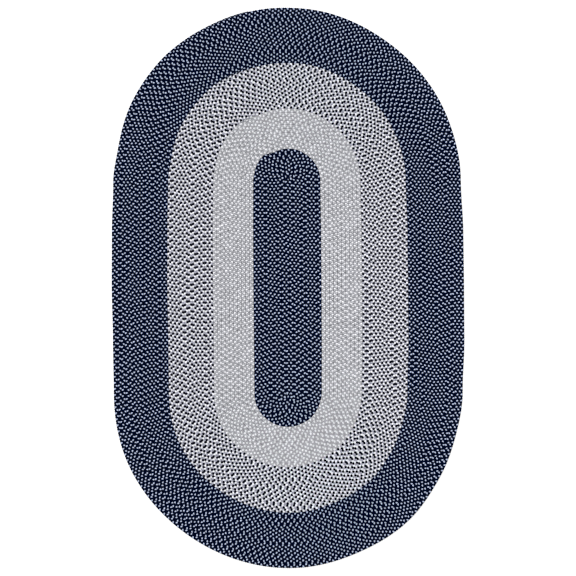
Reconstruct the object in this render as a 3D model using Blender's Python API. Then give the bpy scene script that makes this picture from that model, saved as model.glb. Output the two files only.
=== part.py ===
"""Oval braided rug.

One flat three-strand braid is wound edge to edge round a straight centre line and laced. It is
made up of four lengths, one for each colouring, spliced end to end at the rug's upper left. Each
length is a closed solid: a spiral strip with a flat underside, a raised ridge for every row of
braid, and butt ends that face its neighbours' across a fine gap.

A place on the rug is given by a turn and a station. The turn counts rows out from the centre
line, so turn 3.5 is the middle of the fourth row. The stations go round the oval, clockwise seen
from above, starting at the splices.

Metres, +Z up, +Y along the rug, origin under the middle of its box.
"""

import math
from collections import namedtuple

import bpy

# Driving dimensions
CENTRE_LINE = 0.9236  # straight line that the first two rows lie along
THICKNESS = 0.0100  # floor to the crest of a row
VALLEY_HEIGHT = 0.0068  # floor to the laced line between two rows
GAP = 0.0003  # between two lengths of braid

# Where things lie, in degrees clockwise from the rug's top end
SPLICE_AT = 315.0
TAPER_TO = 352.5  # the last row thins from the splices to nothing here
SPREAD_FROM = 110.0  # a turn grows by one row round the bottom end, from here
SPREAD_TO = 250.0  # to here

# Stations
ARC_STEP = 7.5  # degrees between two stations round an end
SIDE_STEPS = 4  # steps along each straight side

# How far the rows lie from the centre line, as a share of an even spiral's distance
TOP_END = [
    # (degrees from the top, share)
    (-90.0, 0.9886),
    (-80.0, 0.9785),
    (-62.0, 0.9884),
    (-30.0, 0.9912),
    (-12.0, 0.9987),
    (5.0, 0.9939),
    (38.0, 0.9793),
    (70.0, 0.9830),
    (90.0, 0.9899),
]
RIGHT_SIDE = [
    # (share of the way down, share)
    (0.00, 0.9899),
    (0.25, 1.0024),
    (0.50, 1.0045),
    (0.75, 1.0045),
    (1.00, 0.9929),
]
BOTTOM_END = [
    # (degrees from the top, share)
    (90.0, 0.9929),
    (105.0, 0.9835),
    (120.0, 0.9881),
    (138.0, 0.9992),
    (158.0, 0.9915),
    (176.0, 0.9962),
    (216.0, 0.9882),
    (250.0, 0.9960),
    (270.0, 0.9926),
]
LEFT_SIDE = [
    # (share of the way up, share)
    (0.00, 0.9926),
    (0.25, 0.9956),
    (0.50, 1.0006),
    (0.75, 0.9981),
    (1.00, 0.9886),
]

# One length of braid: its rows, how far apart they are laced, and its finish
Length = namedtuple("Length", "name rows pitch colour roughness")
LENGTHS = [
    Length("centre_braid", 8, 0.01725, (0.088, 0.105, 0.149), 0.92),
    Length("inner_braid", 10, 0.01765, (0.491, 0.497, 0.527), 0.90),
    Length("middle_braid", 11, 0.01810, (0.366, 0.373, 0.418), 0.90),
    Length("outer_braid", 14, 0.01720, (0.087, 0.105, 0.150), 0.92),
]
ALL_ROWS = sum(length.rows for length in LENGTHS)
FULL_RIDGE = 0.8 * LENGTHS[0].pitch  # a row narrower than this has a lower ridge

# One station: the point of the centre line that it measures from, the way outwards from there,
# the rows that a turn has grown by, the share of an even spiral's distance, and the part of the
# tapered last row that is left.
Station = namedtuple("Station", "foot out grown share left")


def smooth(x):
    """An S-shaped step from 0 at x = 0 to 1 at x = 1."""
    x = min(max(x, 0.0), 1.0)
    return x * x * (3.0 - 2.0 * x)


def read(table, place):
    """A table's share at a place, eased between its rows."""
    for (start, low), (end, high) in zip(table, table[1:]):
        if place <= end:
            return low + (high - low) * smooth((place - start) / (end - start))
    return table[-1][1]


def end_station(degrees):
    """A station round the top or the bottom end."""
    across, along = math.sin(math.radians(degrees)), math.cos(math.radians(degrees))
    half = CENTRE_LINE / 2.0
    if -90.0 <= degrees < 90.0:
        grown = 1.0 if degrees < SPLICE_AT - 360.0 else 0.0
        left = (TAPER_TO - 360.0 - degrees) / (TAPER_TO - SPLICE_AT)
        left = 0.0 if grown else max(left, 0.0)
        return Station((0.0, half), (across, along), grown, read(TOP_END, degrees), left)
    grown = smooth((degrees - SPREAD_FROM) / (SPREAD_TO - SPREAD_FROM))
    return Station((0.0, -half), (across, along), grown, read(BOTTOM_END, degrees), 0.0)


def side_station(side, share):
    """A station on the right side, on its way down, or on the left, on its way up."""
    foot = (0.0, side * CENTRE_LINE * (0.5 - share))
    table = RIGHT_SIDE if side > 0 else LEFT_SIDE
    return Station(foot, (float(side), 0.0), 0.0 if side > 0 else 1.0, read(table, share), 0.0)


def one_lap():
    """The stations of one lap, from the splices clockwise."""

    def arc(start, end):
        return [end_station(start + ARC_STEP * k) for k in range(round((end - start) / ARC_STEP))]

    def straight(side):
        return [side_station(side, k / SIDE_STEPS) for k in range(SIDE_STEPS)]

    splice = SPLICE_AT - 360.0
    return arc(splice, 90.0) + straight(1) + arc(90.0, 270.0) + straight(-1) + arc(-90.0, splice)


def distance(turn):
    """How far a turn lies from the centre line in an even spiral."""
    far = 0.0
    for length in LENGTHS[:-1]:
        part = min(turn, length.rows)
        far += length.pitch * part
        turn -= part
    return far + LENGTHS[-1].pitch * turn


class Shell:
    """A closed surface, gathered face by face from corner points and welded where they meet."""

    def __init__(self):
        self.index = {}
        self.faces = []

    def corner(self, point):
        """The number of the corner at a point."""
        return self.index.setdefault(tuple(round(value, 7) for value in point), len(self.index))

    def face(self, *points):
        """Adds a face from its corners, clockwise seen from outside.

        Corners that fall together count once, and a face left with no area is dropped.
        """
        ring = [self.corner(point) for point in reversed(points)]
        ring = [a for a, b in zip(ring, ring[1:] + ring[:1]) if a != b]
        if len(ring) > 2:
            self.faces.append(ring)

    def mesh(self, name):
        """The surface as a mesh."""
        made = bpy.data.meshes.new(name)
        made.from_pydata(list(self.index), [], self.faces)
        return made


class Strip:
    """One length of braid, from its first turn to its last.

    Its lines run along it half a row apart: even ones are laced valleys, odd ones are crests.
    After a lap each line carries on as the line one row further out.
    """

    def __init__(self, lap, first, rows):
        self.lap = lap
        self.first = first
        self.last = first + rows
        self.innermost = first == 0
        self.outermost = self.last == ALL_ROWS
        # The first row comes in beside the centre line, and the last one tapers away past the
        # splices, so both take two lines more.
        self.inner = 2 * self.first - (2 if self.innermost else 0)
        self.outer = 2 * self.last + (2 if self.outermost else 0)

    def reach(self, line, k):
        """How far out a line lies at a station, inside the strip's own edges."""
        if line % 2:
            return (self.reach(line - 1, k) + self.reach(line + 1, k)) / 2.0
        at = self.lap[k]
        low = 0.0 if self.innermost else distance(self.first + at.grown) + GAP / 2.0
        high = distance(self.last + at.grown) - GAP / 2.0
        if self.outermost:
            high = distance(self.last + at.grown + at.left)
        return min(max(distance(line / 2.0 + at.grown), low), high) * at.share

    def top(self, line, k):
        """A point of the upper side."""
        if k == len(self.lap):
            return self.top(line + 2, 0)
        height = VALLEY_HEIGHT
        if line % 2:
            width = self.reach(line + 1, k) - self.reach(line - 1, k)
            height += (THICKNESS - VALLEY_HEIGHT) * smooth(width / FULL_RIDGE)
        (x, y), (across, along) = self.lap[k].foot, self.lap[k].out
        reach = self.reach(line, k)
        return (x + across * reach, y + along * reach, height)

    def base(self, line, k):
        """The point of the underside below a point of the upper side."""
        return (*self.top(line, k)[:2], 0.0)

    def last_end(self, line):
        """A point of the last row's butt end, which stops short of the splice by the gap."""
        here = self.top(line, len(self.lap) - 1)
        foot, out, share = self.lap[0].foot, self.lap[0].out, self.lap[0].share
        reach = (distance(line / 2.0 + 1.0) - GAP / 2.0) * share
        there = (foot[0] + out[0] * reach, foot[1] + out[1] * reach)
        part = 1.0 - GAP / math.dist(here[:2], there)
        x, y = (a + (b - a) * part for a, b in zip(here[:2], there))
        return (x, y, here[2])

    def build(self, name):
        """The strip as a mesh."""
        shell = Shell()
        end = len(self.lap) - 1
        for k in range(end + 1):
            if not self.innermost:
                self.inner_side(shell, k)
            if k == end and not self.outermost:
                self.butt_end(shell)
            else:
                self.rows(shell, k, range(self.inner, self.outer))
                self.outer_side(shell, k)
                self.underside(shell, k)
        if not self.innermost:
            self.start_end(shell)
        return shell.mesh(name)

    def rows(self, shell, k, lines):
        """The upper side between a station and the next."""
        for line in lines:
            near, far = self.top(line, k + 1), self.top(line + 1, k + 1)
            shell.face(self.top(line, k), self.top(line + 1, k), far, near)

    def inner_side(self, shell, k):
        """The side towards the centre line, between a station and the next."""
        line = self.inner
        shell.face(
            self.base(line, k), self.top(line, k), self.top(line, k + 1), self.base(line, k + 1)
        )

    def outer_side(self, shell, k):
        """The side towards the rug's edge, between a station and the next."""
        line = self.outer
        shell.face(
            self.base(line, k), self.base(line, k + 1), self.top(line, k + 1), self.top(line, k)
        )

    def underside(self, shell, k):
        """The underside between a station and the next.

        At the first station its inner corner is where the strip's second turn meets its start.
        """
        corner = self.base(self.inner, k)
        onward = self.base(self.inner, k + 1)
        if k == 0:
            joint = self.base(self.inner + 2, 0)
            shell.face(corner, onward, joint)
            corner = joint
        shell.face(corner, onward, self.base(self.outer, k + 1), self.base(self.outer, k))

    def start_end(self, shell):
        """The first row's butt end."""
        first = self.inner
        ridge = [self.top(line, 0) for line in (first + 2, first + 1, first)]
        shell.face(self.base(first, 0), self.base(first + 2, 0), *ridge)

    def butt_end(self, shell):
        """The last stretch of a strip whose last row ends square, short of the splice."""
        k = len(self.lap) - 1
        corner, crest, edge = (self.outer - 2, self.outer - 1, self.outer)
        ends = [self.last_end(line) for line in (corner, crest, edge)]
        near, far = ((*point[:2], 0.0) for point in (ends[0], ends[2]))
        joint = self.base(self.inner + 2, 0)
        self.rows(shell, k, range(self.inner, corner - 1))
        # the upper side's row beside the last one, and the last row itself
        shell.face(self.top(corner - 1, k), self.top(corner, k), ends[0], self.top(crest, 0))
        shell.face(self.top(crest, 0), ends[0], self.top(edge, 0))
        shell.face(self.top(corner, k), self.top(crest, k), ends[1], ends[0])
        shell.face(self.top(crest, k), self.top(edge, k), ends[2], ends[1])
        # the end, the sliver of side between it and the splice, and the outer side
        shell.face(near, *ends, far)
        shell.face(self.base(edge, 0), self.top(edge, 0), ends[0], near)
        shell.face(self.base(edge, k), far, ends[2], self.top(edge, k))
        # the underside
        shell.face(self.base(self.inner, k), joint, near, self.base(edge, k))
        shell.face(self.base(edge, k), near, far)
        shell.face(joint, self.base(edge, 0), near)


def material(name, colour, roughness):
    """A plain matt yarn finish."""
    made = bpy.data.materials.new(name)
    made.use_nodes = True
    shader = made.node_tree.nodes["Principled BSDF"]
    shader.inputs["Base Color"].default_value = (*colour, 1.0)
    shader.inputs["Roughness"].default_value = roughness
    shader.inputs["Metallic"].default_value = 0.0
    made.diffuse_color = (*colour, 1.0)
    return made


def centre(meshes):
    """Moves the lengths together so that the middle of their box stands over the origin."""
    places = [vertex.co for mesh in meshes for vertex in mesh.vertices]
    shift = [-(min(p[a] for p in places) + max(p[a] for p in places)) / 2.0 for a in (0, 1)]
    for mesh in meshes:
        for vertex in mesh.vertices:
            vertex.co.x += shift[0]
            vertex.co.y += shift[1]


def main():
    """Builds the four lengths of braid in an emptied scene."""
    for thing in list(bpy.data.objects):
        bpy.data.objects.remove(thing, do_unlink=True)
    lap = one_lap()
    meshes = []
    first = 0
    for length in LENGTHS:
        mesh = Strip(lap, first, length.rows).build(length.name)
        mesh.materials.append(material(length.name, length.colour, length.roughness))
        meshes.append(mesh)
        first += length.rows
    centre(meshes)
    for mesh in meshes:
        bpy.context.scene.collection.objects.link(bpy.data.objects.new(mesh.name, mesh))


main()
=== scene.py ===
"""Oval braided rug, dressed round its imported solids.

The rug is one three-strand flat braid wound clockwise from a straight centre line and laced edge
to edge. It is made up of four lengths of braid, spliced end to end at the rug's upper left, where
the thinned end of one shares a row with the thinned start of the next. Each strand of each length
is a piece of its own: a closed tube that weaves over and under its two neighbours for the whole
length. The lacing thread runs in the valleys between the rows.

A place on the rug is given by a turn and a place on the lap. The turn counts rows out from the
centre line, so turn 3.5 is the middle of the fourth row. A lap starts at the splices and goes
round the oval clockwise, seen from above.

Metres, +Z up, +Y along the rug.
"""

import logging
import math
from dataclasses import dataclass, field
from enum import Enum

import bpy
import numpy as np
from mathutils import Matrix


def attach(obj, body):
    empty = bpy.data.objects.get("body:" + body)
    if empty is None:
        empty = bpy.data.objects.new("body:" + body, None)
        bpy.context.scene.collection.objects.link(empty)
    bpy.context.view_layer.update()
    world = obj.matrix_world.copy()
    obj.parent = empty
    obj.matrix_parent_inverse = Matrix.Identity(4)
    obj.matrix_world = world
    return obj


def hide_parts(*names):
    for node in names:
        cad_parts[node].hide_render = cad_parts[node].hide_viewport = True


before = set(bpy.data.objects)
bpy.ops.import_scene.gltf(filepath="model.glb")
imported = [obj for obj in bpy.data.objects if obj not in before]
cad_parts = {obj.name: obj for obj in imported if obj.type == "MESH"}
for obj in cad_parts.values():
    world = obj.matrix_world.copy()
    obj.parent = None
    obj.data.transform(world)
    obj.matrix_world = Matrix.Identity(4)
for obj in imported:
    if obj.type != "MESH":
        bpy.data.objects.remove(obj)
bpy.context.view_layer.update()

BODY = "root"
YARN_MAP = "OFBake"  # the map that a strand's yarn pattern is drawn on
FULL_TURN = 360.0
HALF_TURN = 180.0
OUTER_PHASE = 90.0  # the plait's phase when a strand is at the braid's outer edge
RINGS = 3  # rings of a strand's tube for each half period
NOISE_SPAN = (0.3, 0.7)  # where nearly all of a noise's heights lie
END_SPOTS = ((0.01, 0.01), (0.02, 0.01), (0.01, 0.02))  # of a tube's end, on the yarn map

log = logging.getLogger("rug")

Array = np.ndarray


# ------------------------------------------------------------------ helpers


def smooth(x: Array) -> Array:
    """An S-shaped step, 3x^2 - 2x^3, from 0 at x = 0 to 1 at x = 1."""
    x = np.clip(x, 0.0, 1.0)
    return x * x * (3.0 - 2.0 * x)


def eased(table: tuple, place: Array) -> Array:
    """Reads a table of (place, value) rows with an S-shaped step from each row to the next.

    Args:
        table: Rows of (place, value), in rising order of place.
        place: Where to read it.

    Returns:
        The value at each place.
    """
    places, values = np.array(table).T
    row = np.clip(np.searchsorted(places, place, side="right") - 1, 0, len(places) - 2)
    part = (place - places[row]) / (places[row + 1] - places[row])
    return values[row] + (values[row + 1] - values[row]) * smooth(part)


def wander(along: Array, step: float, seed: int) -> Array:
    """A smooth random line: random heights from -1 to 1, one a step, joined by S-shaped steps.

    Args:
        along: Where to read the line, in metres.
        step: How far apart the random heights lie.
        seed: Which line it is.

    Returns:
        The line's height at each place.
    """
    count = int(along.max() / step) + 2
    heights = np.random.default_rng(seed).uniform(-1.0, 1.0, count + 1)
    row = np.clip((along / step).astype(int), 0, count - 1)
    return heights[row] + (heights[row + 1] - heights[row]) * smooth(along / step - row)


def turned(degrees: Array) -> tuple[Array, Array]:
    """The sine and cosine of an angle in degrees."""
    return np.sin(np.radians(degrees)), np.cos(np.radians(degrees))


def put_mesh(
    name: str, places: Array, faces: Array, map_places: Array | None = None
) -> bpy.types.Object:
    """Makes an object of triangles, shaded smooth, at the origin.

    Args:
        name: The object's name.
        places: The vertices, one row each.
        faces: Three vertex numbers for each triangle, anticlockwise seen from outside.
        map_places: A place on the yarn map for each triangle's corners, or none.

    Returns:
        The object, linked to the scene.
    """
    mesh = bpy.data.meshes.new(name)
    mesh.vertices.add(len(places))
    mesh.vertices.foreach_set("co", places.astype(np.float32).ravel())
    mesh.loops.add(faces.size)
    mesh.loops.foreach_set("vertex_index", faces.astype(np.int32).ravel())
    mesh.polygons.add(len(faces))
    mesh.polygons.foreach_set("loop_start", np.arange(0, faces.size, 3, dtype=np.int32))
    mesh.polygons.foreach_set("use_smooth", np.ones(len(faces), bool))
    mesh.update(calc_edges=True)
    if map_places is not None:
        layer = mesh.uv_layers.new(name=YARN_MAP)
        layer.data.foreach_set("uv", map_places.astype(np.float32).ravel())
    mesh.validate()
    piece = bpy.data.objects.new(name, mesh)
    bpy.context.scene.collection.objects.link(piece)
    return piece


def closed(places: Array, faces: Array, spots: Array) -> tuple[Array, Array]:
    """Closes both ends of a tube whose first and last rings have three corners each.

    The two ends face outwards, as the faces round the tube do.

    Args:
        places: The tube's vertices, ring after ring.
        faces: Its triangles.
        spots: A place on the yarn map for each triangle's corners.

    Returns:
        The triangles and the places on the map, with those of the two ends.
    """
    last = len(places) - 3
    ends = np.array([[0, 1, 2], [last + 2, last + 1, last]])
    return np.concatenate([faces, ends]), np.concatenate([spots, np.tile(END_SPOTS, (2, 1))])


# ------------------------------------------------------------------ finishes


@dataclass(frozen=True)
class YarnMap:
    """How the yarn map lies over a strand.

    The map holds patches in columns and rows, one patch for each period of the plait, and a
    strand runs through them over and over. Across a patch runs the strand's length, from where it
    lies lowest, and up it goes the angle round the strand.

    Attributes:
        columns: Patches across the map.
        rows: Patches up the map.
        from_angle: The angle at a patch's lower edge, in degrees from the strand's right.
        span: The angles that a patch holds.
    """

    columns: int = 3
    rows: int = 5
    from_angle: float = -90.0
    span: float = 450.0

    def place(self, period: Array, part: Array, angle: Array) -> Array:
        """Where a point of a strand lies on the map.

        Args:
            period: How many whole periods come before it.
            part: How far on it is in its period, from 0 to 1.
            angle: Its angle round the strand, in degrees.

        Returns:
            The map's two coordinates, last.
        """
        across = (period % self.columns + part) / self.columns
        patch = period // self.columns % self.rows
        up = (patch + (angle - self.from_angle) / self.span) / self.rows
        return np.stack(np.broadcast_arrays(across, up), -1)


class Net:
    """A material's nodes, with short ways to add one and join it to others."""

    def __init__(self, title: str) -> None:
        """Makes the material."""
        self.material = bpy.data.materials.new(title)
        self.material.use_nodes = True
        self.tree = self.material.node_tree
        self.shader = self.tree.nodes["Principled BSDF"]

    def add(self, kind: str, *feeds: object, **settings: object) -> bpy.types.Node:
        """Adds a node.

        Args:
            kind: The node's type, without the words that all types start with.
            feeds: What goes into its inputs in turn: an output, a constant, or None to leave one.
            settings: The node's own settings.

        Returns:
            The node.
        """
        node = self.tree.nodes.new("ShaderNode" + kind)
        for key, value in settings.items():
            setattr(node, key, value)
        for socket, feed in zip(node.inputs, feeds):
            self.feed(socket, feed)
        return node

    def feed(self, socket: bpy.types.NodeSocket, feed: object) -> None:
        """Joins an output to an input, or sets the input to a constant."""
        if isinstance(feed, bpy.types.NodeSocket):
            self.tree.links.new(feed, socket)
        elif feed is not None:
            socket.default_value = feed

    def math(self, operation: str, *feeds: object) -> bpy.types.NodeSocket:
        """The output of a Math node."""
        return self.add("Math", *feeds, operation=operation).outputs[0]

    def between(
        self, value: object, span: tuple, to: tuple, kind: str = "LINEAR"
    ) -> bpy.types.NodeSocket:
        """Maps a value from the two ends of a span to two others, held within them."""
        return self.add("MapRange", value, *span, *to, interpolation_type=kind).outputs[0]

    def noise(self, vector: object, scale: float, detail: float) -> bpy.types.NodeSocket:
        """The height of a noise, from 0 to 1."""
        return self.add("TexNoise", vector, None, scale, detail).outputs[0]


@dataclass(frozen=True)
class YarnFinish:
    """A strand of plied, matt yarn: its dye, its ends and its fibres.

    Attributes:
        title: The material's name.
        dye: The yarn's colour, linear.
        painted_deep_shade: How much of the colour the painted shade leaves low down, where a strand
            dives under its neighbours.
        uneven: How much lighter and darker the loops run, as a share of the colour, and the
            patches of the rug on top of that.
        plies: How many ends the strand is twisted from.
        twist: How many of its ends pass a place on top in one period.
        shade: The heights, in metres, over which that painted shade lifts as a strand comes up.
        painted_groove_shade: How much of the colour the painted shade leaves in the crease between
            two ends.
        rounded: How high the flank of an end, as a share of its crest, has the whole colour, free
            of that painted shade.
        fibre: How fine the fibres are along an end and across it.
        fibre_noise: The scale and the detail of their noise.
        fibre_shade: The least and the most of the colour that a fibre has.
        fibre_relief: How far a fibre stands out, as a share of an end.
        patch_noise: The scale and the detail of the patches.
        roughness: The least and the most, by fibre.
        relief: The bump's strength and its height in metres.
        gloss: The level of the yarn's shine.
    """

    title: str
    dye: tuple[float, float, float]
    # how much colour the painted shade leaves low down
    painted_deep_shade: float = 0.45
    uneven: float = 0.10
    plies: int = 10
    twist: int = 4
    shade: tuple[float, float] = (0.003, 0.009)
    # how much colour the painted shade leaves in the creases between ends
    painted_groove_shade: float = 0.70
    rounded: float = 0.6
    fibre: tuple[float, float] = (7.0, 1.6)
    fibre_noise: tuple[float, float] = (3.0, 5.0)
    fibre_shade: tuple[float, float] = (0.86, 1.14)
    fibre_relief: float = 0.45
    patch_noise: tuple[float, float] = (60.0, 2.0)
    roughness: tuple[float, float] = (0.80, 0.95)
    relief: tuple[float, float] = (0.8, 0.0009)
    gloss: float = 0.02

    def material(self, chart: YarnMap) -> bpy.types.Material:
        """The yarn's material, made once.

        The ends wind round the strand: their lay is half their number times the angle round it,
        plus pi times the twist for each period along it, and an end stands as high as the sine
        of its lay, taken without its sign. The fibres are a noise over the lay and the way along,
        drawn out along the ends. Each loop has a random tint of its own, and a coarser noise
        makes patches. The colour is the dye times these, times a painted shade in the creases
        between the ends, and times a painted shade that lifts with the height above the floor,
        darkest where a strand dives under its neighbours.

        Args:
            chart: The yarn map.

        Returns:
            The material.
        """
        made = bpy.data.materials.get(self.title)
        if made is not None:
            return made
        net = Net(self.title)
        place = net.add("SeparateXYZ", net.add("UVMap", uv_map=YARN_MAP).outputs[0])
        periods = net.math("MULTIPLY", place.outputs[0], float(chart.columns))
        rows = net.math("MULTIPLY", place.outputs[1], float(chart.rows))
        angles = (math.radians(chart.from_angle), math.radians(chart.from_angle + chart.span))
        angle = net.between(net.math("FRACT", rows), (0.0, 1.0), angles)
        wound = net.math("MULTIPLY", periods, math.pi * self.twist)
        lay = net.math("MULTIPLY_ADD", angle, self.plies / 2.0, wound)
        ridge = net.math("ABSOLUTE", net.math("SINE", lay))

        along, across = self.fibre
        onwards, sideways = net.math("MULTIPLY", periods, along), net.math("MULTIPLY", lay, across)
        drawn = net.add("CombineXYZ", onwards, sideways, rows)
        fibre = net.noise(drawn.outputs[0], *self.fibre_noise)
        loop = net.math("FLOOR", net.math("MULTIPLY", periods, 2.0))
        pick = net.add("CombineXYZ", loop, net.math("FLOOR", rows))
        tint = net.add("TexWhiteNoise", pick.outputs[0], noise_dimensions="2D").outputs[0]
        whole = net.add("TexCoord").outputs["Object"]
        patch = net.noise(whole, *self.patch_noise)

        spread = (1.0 - self.uneven, 1.0 + self.uneven)
        height = net.add("SeparateXYZ", whole).outputs[2]
        # painted shade: the colour is darkened low down, where a strand dives under its neighbours,
        # and lifts with the height; the loop's tint, the patches, the fibres and the painted shade
        # between the ends multiply in after
        painted_shade_and_tone = net.between(height, self.shade, (self.painted_deep_shade, 1.0), "SMOOTHSTEP")
        for part in (
            net.between(tint, (0.0, 1.0), spread),
            net.between(patch, NOISE_SPAN, spread),
            net.between(fibre, NOISE_SPAN, self.fibre_shade),
            # painted shade in the creases between the twisted ends of the yarn
            net.between(ridge, (0.0, self.rounded), (self.painted_groove_shade, 1.0)),
        ):
            painted_shade_and_tone = net.math("MULTIPLY", painted_shade_and_tone, part)
        colour = net.add("VectorMath", self.dye, operation="SCALE")
        net.feed(colour.inputs["Scale"], painted_shade_and_tone)
        net.feed(net.shader.inputs["Base Color"], colour.outputs[0])
        net.feed(net.shader.inputs["Roughness"], net.between(fibre, NOISE_SPAN, self.roughness))
        bump = net.add("Bump", *self.relief)
        net.feed(bump.inputs["Height"], net.math("MULTIPLY_ADD", fibre, self.fibre_relief, ridge))
        net.feed(net.shader.inputs["Normal"], bump.outputs[0])
        net.shader.inputs["Specular IOR Level"].default_value = self.gloss
        net.material.diffuse_color = (*self.dye, 1.0)
        return net.material


class Yarn(Enum):
    """The yarns that the strands and the lacing thread are made of."""

    # the keyword after each dye sets how much of its colour the painted shade leaves low down
    NAVY = YarnFinish("navy_yarn", (0.0, 0.0036, 0.0250), painted_deep_shade=0.15)
    PALE_BLUE = YarnFinish("pale_blue_yarn", (0.508, 0.578, 0.768), painted_deep_shade=0.30)
    GREY = YarnFinish("grey_yarn", (0.515, 0.520, 0.555), painted_deep_shade=0.85)
    OFF_WHITE = YarnFinish("off_white_yarn", (0.885, 0.885, 0.920), painted_deep_shade=0.9)
    BLACK_NAVY = YarnFinish("black_navy_yarn", (0.0070, 0.0078, 0.0160), painted_deep_shade=0.7)
    LIGHT_GREY = YarnFinish("light_grey_yarn", (0.492, 0.498, 0.588), painted_deep_shade=0.75)
    WHITE = YarnFinish("white_yarn", (0.945, 0.950, 0.996), painted_deep_shade=0.82)


class Colouring(Enum):
    """How a length of braid is coloured: its slot in the record, its strands and its lacing."""

    NAVY_MIX = ("navy_mix", (Yarn.NAVY, Yarn.NAVY, Yarn.PALE_BLUE), Yarn.NAVY)
    GREY_MIX = ("grey_mix", (Yarn.GREY, Yarn.GREY, Yarn.OFF_WHITE), Yarn.GREY)
    WHITE_MIX = ("white_mix", (Yarn.BLACK_NAVY, Yarn.WHITE, Yarn.LIGHT_GREY), Yarn.LIGHT_GREY)


# ------------------------------------------------------------------ the winding


@dataclass
class Route:
    """A line that a row, or the whole braid, follows, with its arc length.

    Attributes:
        place: Points of the line, in metres, one row each.
        width: The row's width at each point.
    """

    place: Array
    width: Array
    along: Array = field(init=False)
    ahead: Array = field(init=False)

    def __post_init__(self) -> None:
        """Measures the line: its arc length, and its direction by central differences."""
        steps = np.linalg.norm(np.diff(self.place, axis=0), axis=1)
        self.along = np.concatenate([[0.0], np.cumsum(steps)])
        ahead = np.gradient(self.place, self.along, axis=0)
        self.ahead = ahead / np.linalg.norm(ahead, axis=1, keepdims=True)

    @property
    def length(self) -> float:
        """How long the line is."""
        return float(self.along[-1])

    def at(self, along: Array) -> tuple[Array, Array, Array]:
        """Reads the line at some arc lengths, straight from each of its points to the next.

        Args:
            along: Arc lengths.

        Returns:
            The places, the directions ahead, and the widths.
        """
        place = np.stack([np.interp(along, self.along, self.place[:, a]) for a in (0, 1)], 1)
        ahead = np.stack([np.interp(along, self.along, self.ahead[:, a]) for a in (0, 1)], 1)
        ahead /= np.linalg.norm(ahead, axis=1, keepdims=True)
        return place, ahead, np.interp(along, self.along, self.width)


@dataclass(frozen=True)
class Lap:
    """Points once round the oval, from the splices clockwise.

    Attributes:
        foot: The point of the centre line that each one measures from.
        out: The way outwards from there.
        grown: The rows that a turn has grown by.
        share: The share of an even spiral's distance.
        left: The part of the tapered last row that is left.
    """

    foot: Array
    out: Array
    grown: Array
    share: Array
    left: Array


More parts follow.
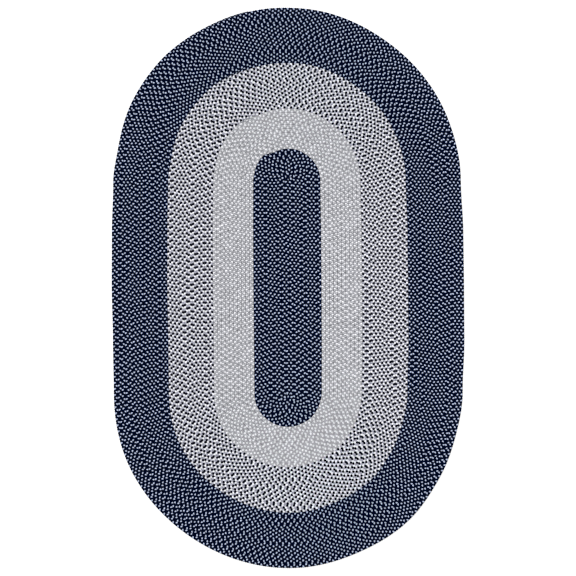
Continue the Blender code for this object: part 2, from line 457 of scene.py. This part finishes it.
@dataclass(frozen=True)
class Winding:
    """How the braid is wound: an uneven oval spiral round a straight centre line."""

    centre_line: float = 0.9236
    # the turn that each length of braid starts at, and how far apart its rows are laced
    pitches: tuple = ((0.0, 0.01725), (8.0, 0.01765), (18.0, 0.01810), (29.0, 0.01720))
    all_rows: int = 43
    splice_at: float = -45.0  # degrees clockwise from the rug's top end
    taper_to: float = -7.5
    spread_from: float = 110.0
    spread_to: float = 250.0
    first_width: float = 0.25  # the braid starts where its row is this share of a full one
    last_width: float = 0.12  # and ends where it is this share
    arc_step: float = 1.0
    side_steps: int = 60
    # How far the rows lie from the centre line, as a share of an even spiral's distance: round
    # the ends by degrees from the top, down the right side and up the left by the share done
    top_end: tuple = (
        (-90.0, 0.9886),
        (-80.0, 0.9785),
        (-62.0, 0.9884),
        (-30.0, 0.9912),
        (-12.0, 0.9987),
        (5.0, 0.9939),
        (38.0, 0.9793),
        (70.0, 0.9830),
        (90.0, 0.9899),
    )
    right_side: tuple = (
        (0.0, 0.9899),
        (0.25, 1.0024),
        (0.5, 1.0045),
        (0.75, 1.0045),
        (1.0, 0.9929),
    )
    bottom_end: tuple = (
        (90.0, 0.9929),
        (105.0, 0.9835),
        (120.0, 0.9881),
        (138.0, 0.9992),
        (158.0, 0.9915),
        (176.0, 0.9962),
        (216.0, 0.9882),
        (250.0, 0.9960),
        (270.0, 0.9926),
    )
    left_side: tuple = (
        (0.0, 0.9926),
        (0.25, 0.9956),
        (0.5, 1.0006),
        (0.75, 0.9981),
        (1.0, 0.9886),
    )

    def distance(self, turn: Array) -> Array:
        """How far a turn lies from the centre line in an even spiral: each row adds its pitch."""
        starts, pitches = np.array(self.pitches).T
        at_starts = np.concatenate([[0.0], np.cumsum(np.diff(starts) * pitches[:-1])])
        within = np.searchsorted(starts, turn, side="right") - 1
        within = np.maximum(within, 0)
        return at_starts[within] + pitches[within] * (turn - starts[within])

    def arc(self, start: float, end: float, side: float, table: tuple) -> Lap:
        """Points round the top end, where side is 1, or the bottom end, where it is -1.

        The foot stays at the centre line's end, and out turns with the angle.

        Args:
            start: Degrees clockwise from the top.
            end: Likewise; it isn't reached.
            side: Which end it is.
            table: The end's table of shares.

        Returns:
            That stretch of the lap.
        """
        degrees = np.arange(start, end, self.arc_step)
        across, up = turned(degrees)
        far = np.full_like(degrees, side * self.centre_line / 2)
        foot = np.stack([np.zeros_like(degrees), far], 1)
        if side > 0:
            grown = np.where(degrees < self.splice_at, 1.0, 0.0)
            left = (self.taper_to - degrees) / (self.taper_to - self.splice_at)
            left = np.where(grown > 0, 0.0, np.maximum(left, 0.0))
        else:
            grown = smooth((degrees - self.spread_from) / (self.spread_to - self.spread_from))
            left = np.zeros_like(degrees)
        return Lap(foot, np.stack([across, up], 1), grown, eased(table, degrees), left)

    def straight(self, side: float, table: tuple) -> Lap:
        """Points down the right side, where side is 1, or up the left side, where it is -1.

        The foot runs along the centre line, and out points across it.

        Args:
            side: Which side it is.
            table: The side's table of shares.

        Returns:
            That stretch of the lap.
        """
        part = np.arange(self.side_steps) / self.side_steps
        foot = np.stack([np.zeros_like(part), side * self.centre_line * (0.5 - part)], 1)
        out = np.tile([side, 0.0], (len(part), 1))
        grown = np.full_like(part, 0.0 if side > 0 else 1.0)
        return Lap(foot, out, grown, eased(table, part), np.zeros_like(part))

    def lap(self) -> Lap:
        """The whole lap."""
        stretches = [
            self.arc(self.splice_at, 90.0, 1.0, self.top_end),
            self.straight(1.0, self.right_side),
            self.arc(90.0, 270.0, -1.0, self.bottom_end),
            self.straight(-1.0, self.left_side),
            self.arc(-90.0, self.splice_at, 1.0, self.top_end),
        ]
        parts = zip(*((s.foot, s.out, s.grown, s.share, s.left) for s in stretches))
        return Lap(*(np.concatenate(part) for part in parts))

    def shift(self, lap: Lap) -> Array:
        """The move that puts the middle of the rug's box over the origin."""
        turn = self.all_rows + lap.grown + lap.left
        edge = lap.foot + lap.out * (self.distance(turn) * lap.share)[:, None]
        return -(edge.min(0) + edge.max(0)) / 2.0

    def rows(self) -> tuple[Route, Array]:
        """The line down the middle of the braid, from its start to its tapered end.

        On each lap the braid's inner edge lies at turn j + grown and its outer edge one turn
        further out. Lap -1 has only the part beside the centre line, where the inner edge is
        held at turn 0, and the last lap has only the part where the braid tapers away.

        Returns:
            The line, and the number of laps done at each of its points.
        """
        lap = self.lap()
        laps = np.arange(-1, self.all_rows + 1)
        count = len(lap.grown)
        inner = np.maximum(laps[:, None] + lap.grown, 0.0)
        outer = laps[:, None] + 1.0 + lap.grown
        outer[-1] = self.all_rows + lap.left
        full = outer - inner
        kept = np.ones((len(laps), count), bool)
        kept[0] = (lap.grown > 0.0) & (full[0] >= self.first_width)
        kept[-1] = full[-1] >= self.last_width
        middle = self.distance((inner + outer) / 2.0) * lap.share
        width = (self.distance(outer) - self.distance(inner)) * lap.share
        place = lap.foot + lap.out * middle[:, :, None] + self.shift(lap)
        done = laps[:, None] + np.arange(count) / count
        return Route(place[kept], width[kept]), done[kept]

    def valleys(self) -> tuple[Route, Array]:
        """The line between the rows, down the centre line and out to beside the tapered end.

        On lap j it lies at turn j + grown, where one row's outer edge meets the next one's inner
        edge. Round the top end of lap 0 that is one point, which is kept once.

        Returns:
            The line, and the number of laps done at each of its points.
        """
        lap = self.lap()
        laps = np.arange(0, self.all_rows + 1)
        count = len(lap.grown)
        middle = self.distance(laps[:, None] + lap.grown) * lap.share
        place = lap.foot + lap.out * middle[:, :, None] + self.shift(lap)
        kept = np.ones((len(laps), count), bool)
        kept[0] = (middle[0] > 0.0) | (lap.out[:, 0] >= 1.0)
        kept[-1] = lap.left >= self.last_width
        done = laps[:, None] + np.arange(count) / count
        return Route(place[kept], np.full(int(kept.sum()), self.pitches[0][1])), done[kept]


# ------------------------------------------------------------------ the strands


@dataclass(frozen=True)
class Ring:
    """One ring of a strand's tube, on the half of a period where the strand is at the outer edge.

    On the other half it is mirrored from one edge to the other, so its angles are spaced evenly
    either side of straight up.

    Attributes:
        angles: Each corner's angle, anticlockwise from the right seen along the strand, rising.
        ahead: How far on it lies from where the strand reaches the edge, as a share of a period.
        out: How far out it lies from the braid's middle, as a share of the row's width.
        up: Its height above the floor, as a share of the braid's thickness.
    """

    angles: tuple[float, ...]
    ahead: tuple[float, ...]
    out: tuple[float, ...]
    up: tuple[float, ...]

    @property
    def mirrored(self) -> Array:
        """For each corner, the one that takes its place on the other half of a period."""
        other = (HALF_TURN - np.array(self.angles)) % FULL_TURN
        return np.abs(other[:, None] - np.array(self.angles)[None]).argmin(1)


@dataclass(frozen=True)
class Ends:
    """Where a length of braid starts and ends, and how it thins there so that two share a row.

    Attributes:
        start: Where it starts.
        grows: How far on from there it is full.
        full_to: Where it starts to thin.
        fades: How far on from there it ends.
        least: The share of the row that its very tip takes.
        sink: How much lower the tip lies, as a share of the usual height.
    """

    start: float
    grows: float
    full_to: float
    fades: float
    least: float = 0.15
    sink: float = 0.35

    @property
    def end(self) -> float:
        """Where its tip ends."""
        return self.full_to + self.fades

    def share(self, along: Array) -> tuple[Array, Array, Array]:
        """How the braid lies in its row.

        It grows evenly to the row's width on the row's outer side, and thins evenly on its
        inner side, so its middle leans out or in by half of what is missing.

        Args:
            along: Places along the braid.

        Returns:
            The share of the row's width that it takes, how far out its middle leans as a share
            of that width, and its height as a share of the usual.
        """
        grown = np.clip((along - self.start) / self.grows, self.least, 1.0)
        left = np.clip((self.end - along) / self.fades, self.least, 1.0)
        taken = grown * left
        return taken, (left - grown) / 2.0, 1.0 - self.sink * (1.0 - taken)


@dataclass(frozen=True)
class Sweep:
    """Where one strand reaches the braid's edges, from its first end to its last.

    Attributes:
        along: How far along the braid each place lies.
        period: The plait's period there.
        girth: The strand's thickness there, as a share of the usual.
        lift: How high it rises there, as a share of the usual.
        outer_first: Whether the first of them is at the outer edge.
        ends: The length's ends.
    """

    along: Array
    period: Array
    girth: Array
    lift: Array
    outer_first: bool
    ends: Ends


@dataclass(frozen=True)
class StrandForm:
    """The tube that each strand is: three rings for each half period of the plait.

    A strand comes up round the braid's edge, goes straight across on top to the braid's middle,
    dives under the strand that comes from the other edge, and goes on below to that edge. It has
    a level ring as it rolls over the edge, one on top and one below past the middle.

    Attributes:
        thickness: The braid's thickness.
        chart: The yarn map.
        edge: The ring where the strand rolls over the edge: its back, outer, front and inner
            corners. Its angles are those of the strand ahead, where the outer side has come to
            the top. For the strand behind, where that side lies below, they are a half turn more.
        top: The ring on top.
        below: The ring below, past the middle.
    """

    thickness: float = 0.0100
    chart: YarnMap = YarnMap()
    edge: Ring = Ring(
        (0.0, 90.0, 180.0, 270.0),
        (-0.170, 0.000, 0.170, 0.000),
        (0.455, 0.550, 0.465, 0.330),
        (0.48, 0.50, 0.52, 0.35),
    )
    top: Ring = Ring(
        (60.0, 120.0, 200.0, 340.0),
        (-0.040, 0.080, 0.200, -0.160),
        (0.240, 0.250, 0.230, 0.210),
        (0.97, 0.97, 0.50, 0.50),
    )
    below: Ring = Ring(
        (20.0, 160.0, 270.0),
        (0.010, 0.210, 0.110),
        (-0.160, -0.140, -0.160),
        (0.40, 0.40, 0.02),
    )

    @staticmethod
    def strip(near: list[tuple[float, int]], far: list[tuple[float, int]]) -> tuple[list, list]:
        """Triangles from one ring to the next, taking their corners in the order of their angles.

        Each triangle's corners go anticlockwise seen from outside the strand.

        Args:
            near: The angle and the number of each corner of the ring behind.
            far: Likewise of the ring ahead.

        Returns:
            The triangles' corners, and the angle of each, never wrapped inside a triangle.
        """
        # start where both rings have their last corner, one turn back
        near = [(near[-1][0] - FULL_TURN, near[-1][1])] + near
        far = [(far[-1][0] - FULL_TURN, far[-1][1])] + far
        i = j = 0
        faces, angles = [], []
        while i < len(near) - 1 or j < len(far) - 1:
            step_near = j == len(far) - 1 or (i < len(near) - 1 and near[i + 1][0] <= far[j + 1][0])
            third = near[i + 1] if step_near else far[j + 1]
            corners = [near[i], far[j], third]
            faces.append([number for _, number in corners])
            angles.append([angle for angle, _ in corners])
            i, j = (i + 1, j) if step_near else (i, j + 1)
        return faces, angles

    def unit(self) -> tuple[Array, Array, Array]:
        """The triangles of half a period, from one ring below to the next.

        Returns:
            The corner numbers, the angles, and how many rings on each corner lies.
        """
        rings = (self.below, self.edge, self.top, self.below)
        firsts = np.cumsum([0] + [len(ring.angles) for ring in rings])
        corners = [
            [(angle, int(first) + k) for k, angle in enumerate(ring.angles)]
            for ring, first in zip(rings, firsts)
        ]
        rolled = sorted(((angle + HALF_TURN) % FULL_TURN, number) for angle, number in corners[1])
        faces, angles = [], []
        for near, far in ((corners[0], rolled), (corners[1], corners[2]), (corners[2], corners[3])):
            more, turns = self.strip(near, far)
            faces += more
            angles += turns
        faces = np.array(faces)
        ring = np.searchsorted(firsts, faces, side="right") - 1
        return faces, np.array(angles), ring

    def corners(self) -> tuple[Array, Array, Array]:
        """The corners of a period's six rings, from a ring below to the one before the next.

        Returns:
            How far ahead of each ring's own edge each lies, how far out, and how high.
        """
        ahead, out, up = [], [], []
        for side in (1.0, -1.0):
            # the ring below belongs to the edge that the strand comes from, the others to its own
            for ring, own in ((self.below, -side), (self.edge, side), (self.top, side)):
                pick = np.arange(len(ring.angles)) if own > 0 else ring.mirrored
                ahead.append(np.array(ring.ahead)[pick])
                out.append(own * np.array(ring.out)[pick])
                up.append(np.array(ring.up)[pick])
        return np.concatenate(ahead), np.concatenate(out), np.concatenate(up)

    def build(self, name: str, route: Route, sweep: Sweep) -> bpy.types.Object:
        """Makes one strand.

        Each corner is set out along, across and above the braid's line, and a ring's corners
        draw in to its middle or away from it with the strand's girth. Where the length is
        thinned, what is set out across and above shrinks, and across it leans to one side.

        Args:
            name: The piece's name.
            route: The braid's line.
            sweep: Where the strand reaches the braid's edges, one after the other.

        Returns:
            The piece.
        """
        ahead, out, up = self.corners()
        counts = np.array([len(ring.angles) for ring in (self.below, self.edge, self.top)] * 2)
        owner = np.repeat(np.arange(2 * RINGS), counts)
        middles = [np.bincount(owner, values) / counts for values in (ahead, out, up)]
        # the rings of every half period are below, edge and top, with one more below to end on
        halves = len(sweep.along)
        first_side = 0 if sweep.outer_first else 1
        per_half = int(counts[:RINGS].sum())
        corner = np.arange(halves * per_half + counts[0])
        half = corner // per_half
        kind = corner % per_half + per_half * ((half + first_side) % 2)
        ring = owner[kind]
        # a ring below goes by the edge behind it
        half_at = np.where(ring % RINGS == 0, half - 1, half)
        at = np.interp(half_at, np.arange(halves), sweep.along)
        at = np.where(half_at < 0, sweep.along[0] - sweep.period[0] / 2.0, at)
        within = np.clip(half_at, 0, halves - 1)
        period, girth, lift = sweep.period[within], sweep.girth[within], sweep.lift[within]
        placed = []
        for values, middle in zip((ahead, out, up), middles):
            placed.append(middle[ring] + (values[kind] - middle[ring]) * girth)
        along = at + placed[0] * period
        place, onwards, width = route.at(along)
        taken, lean, risen = sweep.ends.share(along)
        outwards = np.stack([-onwards[:, 1], onwards[:, 0]], 1)
        flat = place + outwards * ((placed[1] * taken + lean) * width)[:, None]
        height = np.maximum(placed[2] * lift * risen, 0.0) * self.thickness
        places = np.concatenate([flat, height[:, None]], 1)

        faces, angles, ring_on = self.unit()
        half = np.arange(halves)
        all_faces = (faces[None] + (half * per_half)[:, None, None]).reshape(-1, 3)
        half = half[:, None, None]
        part = half % 2 / 2.0 + ring_on[None] / (2.0 * RINGS)
        spots = self.chart.place(half // 2, part, angles[None]).reshape(-1, 2)
        return put_mesh(name, places, *closed(places, all_faces, spots))


@dataclass(frozen=True)
class Length:
    """One length of braid, of one colouring.

    Attributes:
        node: The solid that it stands for.
        turns: The laps that it takes.
        period: How far the braid moves on while a strand swings out and back.
        colouring: Its slot and yarns.
        girths: How thick each of its three strands is, as a share of the usual.
        runs_on: How far it runs on into its last row after those laps, first full and then
            thinning beside the start of the next length.
        let_in: How far on from its start each strand comes in.
    """

    node: str
    turns: tuple[int, int]
    period: float
    colouring: Colouring
    girths: tuple[float, float, float] = (1.0, 1.0, 1.0)
    runs_on: tuple[float, float] = (0.0, 0.001)
    let_in: tuple[float, float, float] = (0.0, 0.0, 0.0)


@dataclass(frozen=True)
class Lacing:
    """The thread that laces the rows to each other, zigzag down the valleys between them.

    Attributes:
        stitch: How far apart its turns lie.
        sway: How far it goes to either side.
        radius: Half its thickness.
        height: The height of its middle.
        angles: Its three corners' angles, anticlockwise from the right.
        chart: The yarn map.
    """

    stitch: float = 0.0176
    sway: float = 0.0009
    radius: float = 0.0016
    height: float = 0.0038
    angles: tuple[float, ...] = (-30.0, 90.0, 210.0)
    chart: YarnMap = YarnMap()

    def build(self, name: str, route: Route, start: float, end: float) -> bpy.types.Object:
        """Makes the thread between two places on the line between the rows.

        Its middle swings a sway to the left and the right in turn, one stitch apart, and each of
        its rings has three corners evenly round it.

        Args:
            name: The piece's name.
            route: The line between the rows.
            start: Where the thread starts.
            end: Where it ends.

        Returns:
            The piece.
        """
        along = np.arange(start, end, self.stitch)
        place, ahead, _ = route.at(along)
        right = np.stack([ahead[:, 1], -ahead[:, 0]], 1)
        side = np.where(np.arange(len(along)) % 2 == 0, self.sway, -self.sway)
        up, across = turned(np.array(self.angles))
        sideways = side[:, None] + self.radius * across[None]
        flat = place[:, None] + right[:, None] * sideways[:, :, None]
        height = np.broadcast_to(self.height + self.radius * up, sideways.shape)
        places = np.concatenate([flat, height[:, :, None]], 2).reshape(-1, 3)

        corners = len(self.angles)
        corner = np.arange(corners)
        after = (corner + 1) % corners
        onwards = corner + corners
        strip = np.stack([corner, onwards, after, onwards, after + corners, after], 1)
        station = np.arange(len(along) - 1)[:, None, None]
        faces = strip.reshape(-1, 3)[None] + corners * station
        turn = np.array(self.angles)
        turn = np.stack([turn, turn, turn + FULL_TURN / corners], 1)
        turn = np.concatenate([turn, turn[:, [0, 2, 2]]], 1).reshape(-1, 3)
        ahead_by = np.tile([[0.0, 0.5, 0.0], [0.5, 0.5, 0.0]], (corners, 1))
        spots = self.chart.place(station // 2, station % 2 / 2.0 + ahead_by[None], turn[None])
        return put_mesh(name, places, *closed(places, faces.reshape(-1, 3), spots.reshape(-1, 2)))


@dataclass
class Braid:
    """The whole braid: its lengths, plaited along one line, and the thread that laces them.

    Attributes:
        winding: How it is wound.
        form: How its strands are shaped.
        lacing: The thread between its rows.
        lengths: The lengths that it is made up of, from the centre out.
        drift: How much tighter and looser the plait gets, as a share of its period.
        drift_step: Over how many metres it does.
        girth_drift: How much thicker and thinner a strand gets, and over how many metres.
        lift_drift: How much higher and lower it lies, and over how many metres.
        first: How the first length starts: in full, where the others' starts are thinned.
        seed: Which random lines these follow.
        seed_step: How far apart the seeds of two strands are.
    """

    winding: Winding
    form: StrandForm
    lacing: Lacing
    lengths: tuple[Length, ...]
    drift: float = 0.035
    drift_step: float = 0.35
    girth_drift: tuple[float, float] = (0.05, 0.011)
    lift_drift: tuple[float, float] = (0.03, 0.013)
    first: tuple[float, float] = (0.0, 0.001)
    seed: int = 5
    seed_step: int = 17

    def plait(self) -> tuple[Route, Array, list[float]]:
        """Works out how the plait's phase grows along the braid: 360 degrees for each period.

        Returns:
            The braid's line, the phase at each of its points in degrees, and the arc lengths
            where the lengths of braid meet.
        """
        route, done = self.winding.rows()
        period = np.zeros_like(done)
        for length in self.lengths:
            period[done >= length.turns[0]] = length.period
        drift = self.drift * wander(route.along, self.drift_step, self.seed)
        rate = FULL_TURN / period * (1.0 + drift)
        steps = np.diff(route.along) * (rate[1:] + rate[:-1]) / 2.0
        phase = np.concatenate([[0.0], np.cumsum(steps)])
        meets = [0.0]
        for length in self.lengths[1:]:
            meets.append(float(np.interp(length.turns[0], done, route.along)))
        return route, phase, meets + [route.length]

    def sweep(self, route: Route, phase: Array, length: Length, ends: Ends, strand: int) -> Sweep:
        """Where one strand reaches the edges, between two places on the braid.

        It is at the outer edge at a phase of 90 degrees, and at the inner one at 270.

        Args:
            route: The braid's line.
            phase: The plait's phase at the line's points.
            length: The length of braid.
            ends: Where it starts and ends.
            strand: Which of the three it is.

        Returns:
            The places.
        """
        lead = strand * FULL_TURN / len(length.girths)
        span = (ends.start + length.let_in[strand], ends.end)
        phases = np.interp(span, route.along, phase) + lead
        low, high = np.ceil((phases - OUTER_PHASE) / HALF_TURN).astype(int)
        edges = OUTER_PHASE + HALF_TURN * np.arange(low, high)
        along = np.interp(edges - lead, phase, route.along)
        period = 2.0 * np.gradient(along)
        seed = self.seed + self.seed_step * strand
        (thicker, girth_step), (higher, lift_step) = self.girth_drift, self.lift_drift
        girth = length.girths[strand] * (1.0 + thicker * wander(along, girth_step, seed + 1))
        lift = 1.0 + higher * wander(along, lift_step, seed + 2)
        return Sweep(along, period, girth, lift, low % 2 == 0, ends)

    def place(self, piece: bpy.types.Object, length: Length, yarn: Yarn) -> bpy.types.Object:
        """Gives a piece its yarn and its node, hides the solid that it stands for, and reports it.
        """
        piece.data.materials.append(yarn.value.material(self.form.chart))
        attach(piece, BODY)
        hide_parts(length.node)
        log.info("%s: %d triangles", piece.name, len(piece.data.polygons))
        return piece

    def build(self) -> list[bpy.types.Object]:
        """Makes every strand of every length, and the thread beside it.

        Returns:
            The pieces.
        """
        route, phase, meets = self.plait()
        valleys, laps = self.winding.valleys()
        made = []
        before = self.first
        for number, length in enumerate(self.lengths):
            start, full_to = meets[number : number + 2]
            (shifted, grows), (runs_on, fades) = before, length.runs_on
            ends = Ends(start + shifted, grows, full_to + runs_on, fades)
            before = length.runs_on
            _, yarns, thread = length.colouring.value
            for strand, yarn in enumerate(yarns):
                sweep = self.sweep(route, phase, length, ends, strand)
                piece = self.form.build(f"{length.node}_strand_{'abc'[strand]}", route, sweep)
                made.append(self.place(piece, length, yarn))
            # each row is laced to the one outside it with its own length's thread
            laced = np.clip(np.array(length.turns) + 1.0, 0.0, laps[-1])
            start, end = np.interp(laced, laps, valleys.along)
            piece = self.lacing.build(f"{length.node}_lacing", valleys, start, end)
            made.append(self.place(piece, length, thread))
        return made


# ------------------------------------------------------------------ the studio


@dataclass(frozen=True)
class Studio:
    """The pale floor, the soft light and the camera straight above the rug."""

    floor_size: float = 60.0
    floor_drop: float = 0.0002  # how far it lies under the rug
    floor_colour: tuple[float, float, float] = (0.93, 0.93, 0.93)
    floor_roughness: float = 0.9
    world_strength: float = 0.86
    lamp_strength: float = 1.95
    lamp_spread: float = 50.0  # degrees across, for soft shadows
    lamp_from: tuple[float, float, float] = (-1.2, 2.0, 3.2)
    view_width: float = 2.5048  # of the floor, across the picture
    rug_offset: tuple[float, float] = (-0.00063, 0.00063)  # from the picture's middle
    rug_turn: float = 0.369  # degrees anticlockwise in the picture
    lens: float = 100.0
    sensor: float = 36.0
    sight: float = 100.0  # how far the camera sees
    sharpness: float = 1.2  # pixels that one point of the rug spreads over

    def floor(self) -> None:
        """A flat square, just under the rug."""
        half = self.floor_size / 2.0
        corners = np.array([[-half, -half, 0], [half, -half, 0], [half, half, 0], [-half, half, 0]])
        corners = corners - [0.0, 0.0, self.floor_drop]
        piece = put_mesh("floor", corners, np.array([[0, 1, 2], [0, 2, 3]]))
        made = bpy.data.materials.new("pale_floor")
        made.use_nodes = True
        shader = made.node_tree.nodes["Principled BSDF"]
        shader.inputs["Base Color"].default_value = (*self.floor_colour, 1.0)
        shader.inputs["Roughness"].default_value = self.floor_roughness
        piece.data.materials.append(made)

    def light(self) -> None:
        """An even white surround and one soft lamp from beyond the rug's top left."""
        world = bpy.data.worlds.new("studio")
        world.use_nodes = True
        surround = world.node_tree.nodes["Background"]
        surround.inputs["Color"].default_value = (1.0, 1.0, 1.0, 1.0)
        surround.inputs["Strength"].default_value = self.world_strength
        bpy.context.scene.world = world
        lamp = bpy.data.lights.new("soft_lamp", "SUN")
        lamp.angle = math.radians(self.lamp_spread)
        lamp.energy = self.lamp_strength
        holder = bpy.data.objects.new("soft_lamp", lamp)
        holder.location = self.lamp_from
        x, y, z = self.lamp_from
        # the lamp shines down its own -Z: tipped by its slope, then turned to where it stands
        holder.rotation_euler = (math.atan2(math.hypot(x, y), z), 0.0, math.atan2(x, -y))
        bpy.context.scene.collection.objects.link(holder)

    def camera(self) -> None:
        """A long lens straight above, turned by as much as the rug is in the photograph."""
        data = bpy.data.cameras.new("camera")
        data.lens = self.lens
        data.sensor_width = self.sensor
        data.clip_end = self.sight
        holder = bpy.data.objects.new("camera", data)
        height = self.view_width * self.lens / self.sensor
        turn = math.radians(self.rug_turn)
        x, y = (-offset for offset in self.rug_offset)
        holder.location = (x, y, height)
        holder.rotation_euler = (0.0, 0.0, -turn)
        bpy.context.scene.collection.objects.link(holder)
        bpy.context.scene.camera = holder

    def build(self) -> None:
        """Makes the camera, the floor and the light, and sets plain display colours."""
        self.camera()
        self.floor()
        self.light()
        bpy.context.scene.view_settings.view_transform = "Standard"
        bpy.context.scene.cycles.filter_width = self.sharpness


NAVY_GIRTHS = (1.02, 1.02, 0.96)  # of the strands of both navy lengths

LENGTHS = (
    Length("centre_braid", (-1, 8), 0.0265, Colouring.NAVY_MIX, NAVY_GIRTHS, (0.0, 0.046)),
    Length(
        "inner_braid",
        (8, 18),
        0.0252,
        Colouring.GREY_MIX,
        girths=(0.96, 0.96, 1.12),
        runs_on=(0.0, 0.120),
    ),
    Length(
        "middle_braid",
        (18, 29),
        0.0290,
        Colouring.WHITE_MIX,
        girths=(0.94, 1.05, 1.02),
        runs_on=(0.075, 0.190),
        let_in=(0.110, 0.0, 0.0),
    ),
    Length("outer_braid", (29, 44), 0.0263, Colouring.NAVY_MIX, NAVY_GIRTHS),
)


def main() -> None:
    """Builds the studio and the rug, and reports each piece."""
    logging.basicConfig(level=logging.INFO, format="%(name)s: %(message)s")
    Studio().build()
    made = Braid(Winding(), StrandForm(), Lacing(), LENGTHS).build()
    log.info("%d triangles in all", sum(len(piece.data.polygons) for piece in made))


if __name__ == "__main__":
    main()
